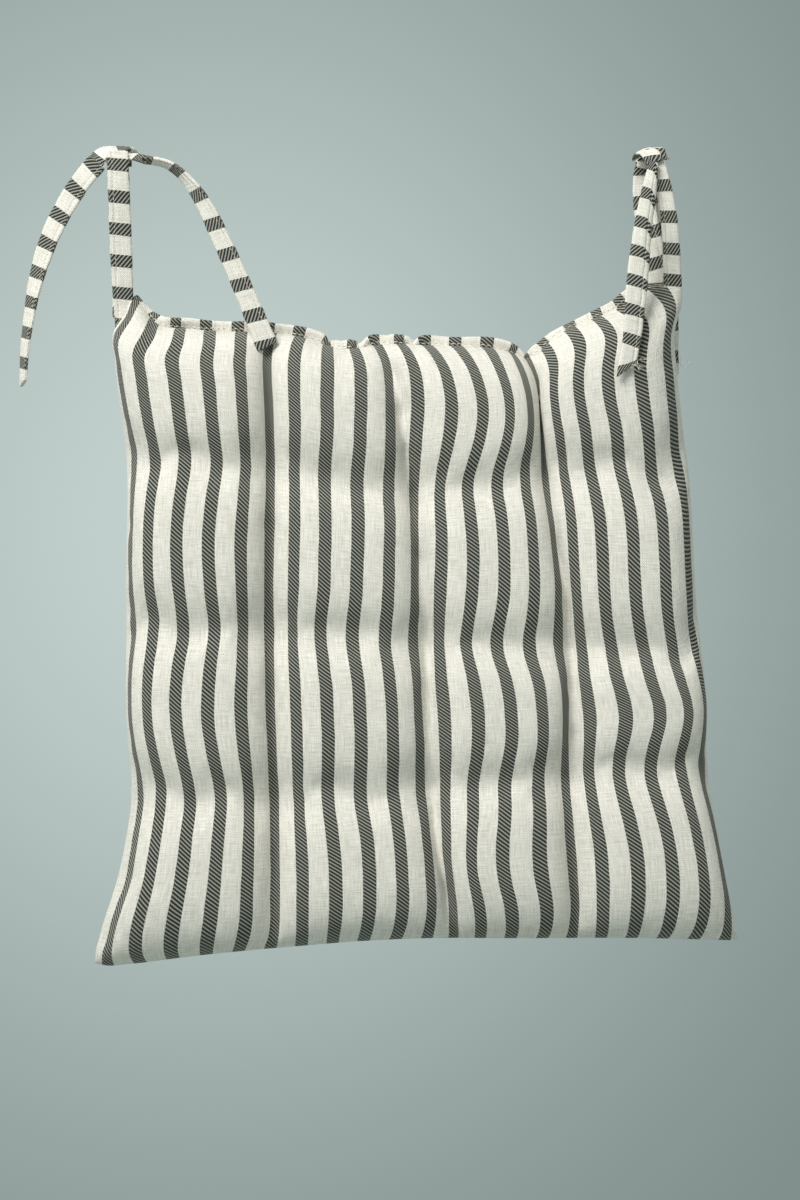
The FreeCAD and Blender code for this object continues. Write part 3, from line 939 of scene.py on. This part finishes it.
def stitch_row(name, groove, out, length):
    """The lengthwise seam of a strap: a row of small stitches in its groove, on both faces."""
    count = int(length / TIE_STITCH)
    beads = []
    rows = np.c_[groove, out]
    for k in range(1, count - 1):
        for face in (1, -1):
            ends = at_shares(rows, np.array(((k + 0.14) / count, (k + 0.86) / count)))
            lift = ends[0, 3:6] * face
            place = ends[:, :3] + ends[:, 3:6] * (face * STRAP_THICK * 0.30)
            beads.append(bead(place[0], place[1], lift, 0.22, 4, 6))
    return joined(name, beads, THREAD)


def hang_strap(made, body, nodes):
    """Puts a strap, with its stitching, on its body."""
    obj, line, length, stitching = made
    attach(obj, body)
    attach(stitching, body)
    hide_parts(*nodes)


def flat_tail(points, top_y, lean=0.0):
    """A hanging tail's route in space from its (x, z) points."""
    return [(x, top_y + lean * (z - points[0][1]), z) for x, z in points]


# The tails as they hang, (x, z).
LEFT_OUTER_TAIL = (
    (-182, 8), (-191, -2), (-200, -16), (-208, -31), (-214, -47), (-219, -65), (-222, -84), (-224.5, -102),
    (-225, -120),
)
LEFT_INNER_TAIL = (
    (-157, 9), (-146, 8.5), (-136, 3.0), (-127, -7), (-119, -20), (-112.5, -34), (-105, -50), (-96.5, -70),
    (-84.5, -98.5),
)
RIGHT_FRONT_TAIL = ((137, 8), (134, -9), (130.5, -29), (128, -51), (125.5, -74), (123.5, -96), (120, -113))
RIGHT_BACK_TAIL = ((142, 8), (144.5, -9), (147, -28), (148.5, -48), (149, -69), (149, -90), (149.5, -110))


def ties():
    """The two pairs of ties: four strands up to the rail's knots and the four tails that hang from them."""
    w = STRAP_WIDTH
    left_front = strap(
        "left_strand_front",
        [(-168.5, 0.0, -87), (-169.5, -7.0, -50), (-170, -12.0, -19), (-170.5, -16.6, 2),
         (-171, -15.2, 14.4)],
        FORWARD, CLOTH_TIE, ((0, 10.5), (0.25, 12.2), (1, 12.6)), phase=6.4, gather=1.04)
    left_back = strap(
        "left_strand_back",
        [(-170.8, 2.0, -80), (-171.3, 10.7, -19), (-172.3, 12.0, 6), (-172.0, 9.3, 14.2)],
        BACKWARD, CLOTH_TIE, ((0, 9.6), (1, 10.8)), phase=6.0)
    right_front = strap(
        "right_strand_front",
        [(149.5, 0.5, -66), (148.0, -8.0, -40), (145.5, -11.8, -18), (140.5, -12.2, 4),
         (137.5, -9.0, 14.4)],
        FORWARD, CLOTH_TIE, ((0, 11), (0.5, 9.8), (1, 9)), phase=0.9, gather=1.047)
    right_back = strap(
        "right_strand_back",
        [(143.5, 2.0, -66), (138, 9.5, -34), (133.5, 11.8, -12), (134, 12.2, 6), (136, 9.3, 14.4)],
        BACKWARD, CLOTH_TIE, ((0, w), (1, w)), phase=9.7)
    hang_strap(left_front, "pad", ["left_tie_front_strand"])
    hang_strap(left_back, "pad", ["left_tie_back_strand"])
    hang_strap(right_front, "pad", ["right_tie_front_strand"])
    hang_strap(right_back, "pad", ["right_tie_back_strand"])

    outer = strap(
        "left_tail_outer", flat_tail(LEFT_OUTER_TAIL, -TAIL_OUT), FORWARD, CLOTH_TIE,
        ((0, 12.5), (0.3, 12), (0.7, 10.5), (1, 9.5)),
        turn=((0, 8), (0.35, 14), (0.7, 48), (1, 66)), phase=5.9, gather=1.09, cut=2)
    inner = strap(
        "left_tail_inner", flat_tail(LEFT_INNER_TAIL, -TAIL_OUT), FORWARD, CLOTH_TIE,
        ((0, 6.5), (0.15, 7.5), (0.35, 9.8), (0.75, 11.5), (1, 13)),
        turn=((0, 66), (0.18, 50), (0.4, 14), (1, -4)), phase=7.2, cut=1)
    front_tail = strap(
        "right_tail_front", flat_tail(RIGHT_FRONT_TAIL, -TAIL_OUT, 0.115), FORWARD, CLOTH_TIE,
        ((0, 5), (0.08, 7.5), (0.2, 9.5), (0.35, 11), (0.5, 12.5), (0.62, 12.8), (0.75, 11.4), (1, 10)),
        turn=((0, 16), (0.5, -4), (1, -10)), phase=6.9, gather=1.11,
        fold=((0, 0.7), (0.3, 0.7), (0.6, 0.25), (0.8, 0), (1, 0)), cut=6.5)
    back_tail = strap(
        "right_tail_back", flat_tail(RIGHT_BACK_TAIL, TAIL_OUT, -0.09), BACKWARD, CLOTH_TIE,
        ((0, 11), (0.4, 12.5), (1, 13)), turn=((0, 10), (1, -8)), phase=14.0, cut=2)
    hang_strap(outer, "left_outer_tail", ["left_tie_outer_tail"])
    hang_strap(inner, "left_inner_tail", ["left_tie_inner_tail"])
    hang_strap(front_tail, "right_front_tail", ["right_tie_front_tail"])
    hang_strap(back_tail, "right_back_tail", ["right_tie_back_tail"])


def loose_yarns(name, body, root, spread, aim, count, reach, material):
    """Fine broken yarns that stand out of a cut edge, from points along spread beside root."""
    chance = np.random.default_rng(5)
    beads = []
    for k in range(count):
        start = np.array(root, float) + np.array(spread, float) * (k / max(1, count - 1) - 0.5)
        way = unit(np.array(aim, float) + chance.uniform(-0.9, 0.9, 3) * (1.0, 0.5, 1.0))
        bent = unit(way + chance.uniform(-0.8, 0.8, 3) * (1.0, 0.3, 1.0))
        middle = start + way * (reach * chance.uniform(0.25, 0.5))
        beads.append(bead(start, middle, np.array(FORWARD), 0.2, 4, 5))
        tip = middle + bent * (reach * chance.uniform(0.3, 0.6))
        beads.append(bead(middle - way * 0.2, tip, np.array(FORWARD), 0.17, 4, 5))
    obj = joined(name, beads, material)
    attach(obj, body)


def wrap(name, points, ways, width, material, phase):
    """A short flat band of a knot along points, its flat side turned to each point's way."""
    thick = 2.2
    p = np.array(points, float)
    chord = run_along(p)
    fine = np.linspace(0, chord[-1], 44)
    centre = np.stack([cubic(chord, p[:, k], fine) for k in range(3)], -1)
    ways = np.array(ways, float)
    out = np.stack([cubic(chord, ways[:, k], fine) for k in range(3)], -1)
    ahead = unit(np.gradient(centre, axis=0))
    out = unit(out - ahead * np.sum(out * ahead, axis=1, keepdims=True))
    side = np.cross(ahead, out)
    wide = cubic(np.linspace(0, chord[-1], len(width)), width, fine)
    section = (
        (-0.9, 0.8), (-0.5, 1.0), (-0.42, 0.7), (-0.3, 1.0), (0, 1.08), (0.5, 1.0), (0.9, 0.8), (1.0, 0.0),
        (0.9, -0.8), (0.0, -1.0), (-0.9, -0.8), (-1.0, 0.0),
    )
    m = len(section)
    verts = [centre[k] + side[k] * (a * wide[k] / 2) + out[k] * (d * thick / 2) for k in range(len(fine))
             for a, d in section]
    faces, uvs = [], []
    for k in range(len(fine) - 1):
        for i in range(m):
            corners = ((k, i), (k + 1, i), (k + 1, i + 1), (k, i + 1))
            faces.append([a * m + b % m for a, b in corners])
            for a, b in corners:
                uvs.append(((fine[a] + phase + 0.8 * section[b % m][0]) / CLOTH, b * 2.2 / CLOTH))
    for k in (0, len(fine) - 1):
        cap = [k * m + i for i in range(m)]
        faces.append(cap[::-1] if k else cap)
        uvs += [((fine[k] + phase) / CLOTH, 0.0)] * m
    obj = mesh_object(name, verts, faces, uvs)
    obj.data.materials.append(material)
    rounded(obj, 2)
    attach(obj, "pad")
    return obj


def knots():
    """The two half knots over the rail, each of crossing bands."""
    low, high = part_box("left_tie_knot")
    cx, top = (low[0] + high[0]) / 2 / MM, high[2] / MM
    # the front strand comes over the top, and the crossing band holds it down
    over = wrap(
        "left_knot_over",
        [(cx, -10.5, 8), (cx + 0.5, -8.5, top - 3.2), (cx + 1, 0, top - 1.3), (cx, 8.5, top - 3.2),
         (cx, 10.5, 9)],
        [(0, -1, 0), (0, -0.8, 0.7), (0, 0, 1), (0, 0.8, 0.7), (0, 1, 0)], (13, 13, 12.5, 12, 12),
        CLOTH_TIE, 1.0)
    wrap(
        "left_knot_cross",
        [(cx - 14.0, -14.6, 6.0), (cx - 9.5, -12.6, 12.6), (cx - 1, -10.8, top - 2.6),
         (cx + 7, -4.5, top - 1.4), (cx + 9.0, 2, top - 4)],
        [(-0.3, -1, 0.2), (-0.4, -0.9, 0.5), (0, -0.6, 0.8), (0.4, 0.1, 1), (0.8, 0.5, 0.4)],
        (12.5, 11, 8, 7, 6), CLOTH_TIE, 7.0)
    wrap(
        "left_knot_under",
        [(cx + 17.5, -15.2, 8.9), (cx + 9, -13.2, 11.2), (cx + 3, -8, 12.4), (cx - 5, 2, 13),
         (cx - 8.5, 8, 12)],
        [(0.2, -0.9, 0.5), (0.1, -0.8, 0.7), (0, -0.3, 1), (0, 0.1, 1), (0, 0.6, 0.8)], (6.5, 6, 7, 9, 9),
        CLOTH_TIE, 6.0)
    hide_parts("left_tie_knot")

    low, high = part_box("right_tie_knot")
    cx, top = (low[0] + high[0]) / 2 / MM, high[2] / MM
    over = wrap(
        "right_knot_over",
        [(cx + 2.5, -10.8, 9), (cx + 1.5, -8.5, top - 3), (cx, 0, top - 1.3), (cx - 1, 8.5, top - 3.4),
         (cx - 2, 10.5, 8)],
        [(0, -1, 0), (0, -0.8, 0.7), (0, 0, 1), (0, 0.8, 0.7), (0, 1, 0)], (12, 12, 12, 12, 12),
        CLOTH_TIE, 5.0)
    wrap(
        "right_knot_cross",
        [(cx + 0.5, -14.2, 7.5), (cx - 1.0, -12.6, 12), (cx - 3, -8.5, top - 3.4), (cx - 6.5, -1, top - 2.4),
         (cx - 8.5, 5, top - 5)],
        [(0, -1, 0.1), (0, -0.9, 0.5), (-0.2, -0.5, 0.9), (-0.5, 0, 0.9), (-0.7, 0.4, 0.6)],
        (11, 11, 10, 9, 8), CLOTH_TIE, 9.0)
    wrap(
        "right_knot_back",
        [(cx + 5, 14.2, 7.5), (cx + 4, 12.5, 11), (cx + 4.5, 7, top - 3), (cx + 6, 1, top - 2.6),
         (cx + 8.5, -4, top - 5.5)],
        [(0, 1, 0.1), (0, 0.9, 0.5), (0, 0.5, 0.9), (0.3, 0, 0.9), (0.7, -0.2, 0.6)], (11, 10, 9, 8, 7),
        CLOTH_TIE, 15.0)
    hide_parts("right_tie_knot")


def tacks(material):
    """The bar of zigzag thread that holds each pair of strands in the seam."""
    for name, node, aside in (("left_tack", "left_tie_tack", 3.0), ("right_tack", "right_tie_tack", 1.0)):
        low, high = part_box(node)
        a = np.array(tuple(low)) / MM
        b = np.array(tuple(high)) / MM
        count, margin = 9, 1.5
        first, last = a[0] + margin + aside, b[0] - margin + aside
        y = (a[1] + b[1]) / 2
        beads = []
        for k in range(count):
            x0 = first + (last - first) * (k + 0.2) / count
            x1 = first + (last - first) * (k + 0.8) / count
            start = np.array((x0, y, a[2] if k % 2 else b[2]))
            end = np.array((x1, y, b[2] if k % 2 else a[2]))
            beads.append(bead(start, end, np.array(FORWARD), 0.35, 5, 6))
        obj = joined(name, beads, material)
        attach(obj, "pad")
        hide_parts(node)


# ------------------------------------------------------------------ putting it together

def pad():
    """The stuffed cover with its filling, hem, stitches and tufts."""
    front, back, points = pad_grids()
    points = settle(front, back, points)
    face, rear = points[front], points[back]
    cover_front = panel("cover_front", face, -1, CLOTH_PANEL)
    cover_back = panel("cover_back", rear, 1, CLOTH_PANEL)
    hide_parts("front_panel")
    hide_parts("back_panel")
    filling(face, rear, fibre_material())
    hem(face[:, 0], CLOTH_PANEL)
    closing_stitches(face[:, 0], THREAD)
    seam_stitches("left_seam_stitch", face[0, 1:-1] + (1.6, 0, 0), "left_seam_thread", THREAD)
    seam_stitches("right_seam_stitch", face[-1, 1:-1] - (1.6, 0, 0), "right_seam_thread", THREAD)
    seam_stitches("bottom_seam_stitch", face[1:-1, -1] + (0, 0, 1.6), "bottom_seam_thread", THREAD)
    cells = tuft_cells()
    for row, row_name in enumerate(("upper", "middle", "lower")):
        for column, column_name in enumerate(("left", "centre", "right")):
            i, j = cells[3 * row + column]
            place = "%s_%s" % (row_name, column_name)
            tuft("tuft_" + place, "tuft_thread_" + place, face[i, j], rear[i, j], THREAD)


CLOTH_PANEL = striped_fabric("striped_canvas")
CLOTH_TIE = striped_fabric("striped_tie")
THREAD = thread_material("cotton_thread", srgb(226, 222, 208), srgb(176, 170, 150))

camera_and_lights()
studio_floor()
ties()
loose_yarns("frayed_tail_end", "right_front_tail", (124.5, -30.6, -109), (5, 0, 4.5), (0.8, -0.3, -0.5),
            8, 7.0, THREAD)
loose_yarns("loose_seam_yarn", "pad", (152.8, -1.0, -107), (0.6, 0, 1.0), (1.0, 0, -0.15), 3, 11.0, THREAD)
knots()
tacks(THREAD)
pad()
